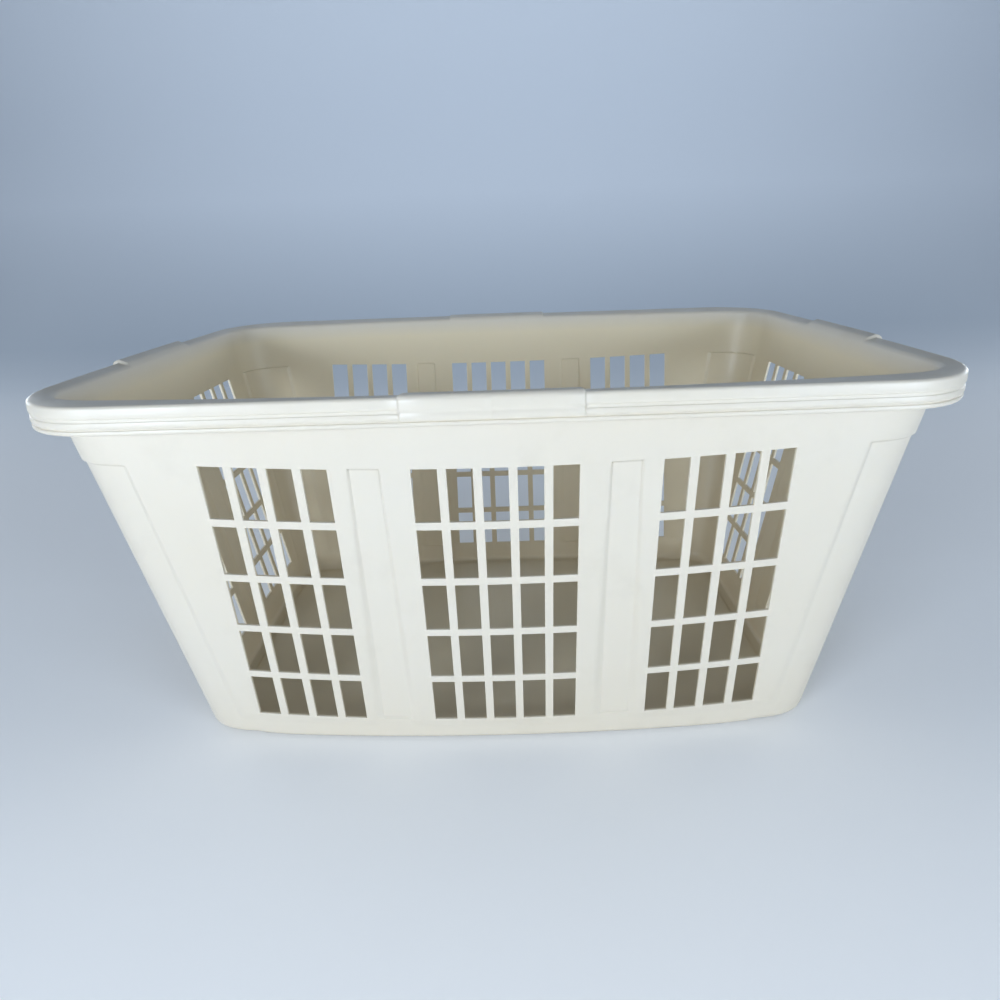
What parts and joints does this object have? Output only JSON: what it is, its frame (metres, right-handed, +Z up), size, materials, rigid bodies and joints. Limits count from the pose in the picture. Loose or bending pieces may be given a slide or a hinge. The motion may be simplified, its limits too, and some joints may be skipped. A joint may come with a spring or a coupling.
{
  "type": "laundry basket",
  "caption": "Rectangular tapered plastic laundry basket with window-pierced walls, fluted corners and a rolled rim with raised hand grips.",
  "frame": {"origin": "middle of the underside, on the surface the basket stands on", "axes": "+X along the length, +Y across the width towards the back wall, +Z up"},
  "size_m": [0.579, 0.405, 0.2777],
  "materials": {
    "plastic": "smooth satin almond-white moulded plastic"
  },
  "bodies": {
    "root": {"wall_right": "plastic", "wall_left": "plastic", "wall_front_middle": "plastic", "wall_front_left": "plastic", "corner_front_left": "plastic", "wall_front_right": "plastic", "corner_front_right": "plastic", "wall_back_middle": "plastic", "wall_back_left": "plastic", "corner_back_left": "plastic", "wall_back_right": "plastic", "corner_back_right": "plastic", "floor": "plastic", "grip_front": "plastic", "grip_back": "plastic", "grip_right": "plastic", "grip_left": "plastic", "rim_front_left": "plastic", "rim_left_front": "plastic", "rim_corner_front_left": "plastic", "rim_front_right": "plastic", "rim_right_front": "plastic", "rim_corner_front_right": "plastic", "rim_back_left": "plastic", "rim_left_back": "plastic", "rim_corner_back_left": "plastic", "rim_back_right": "plastic", "rim_right_back": "plastic", "rim_corner_back_right": "plastic"}
  },
  "joints": []
}
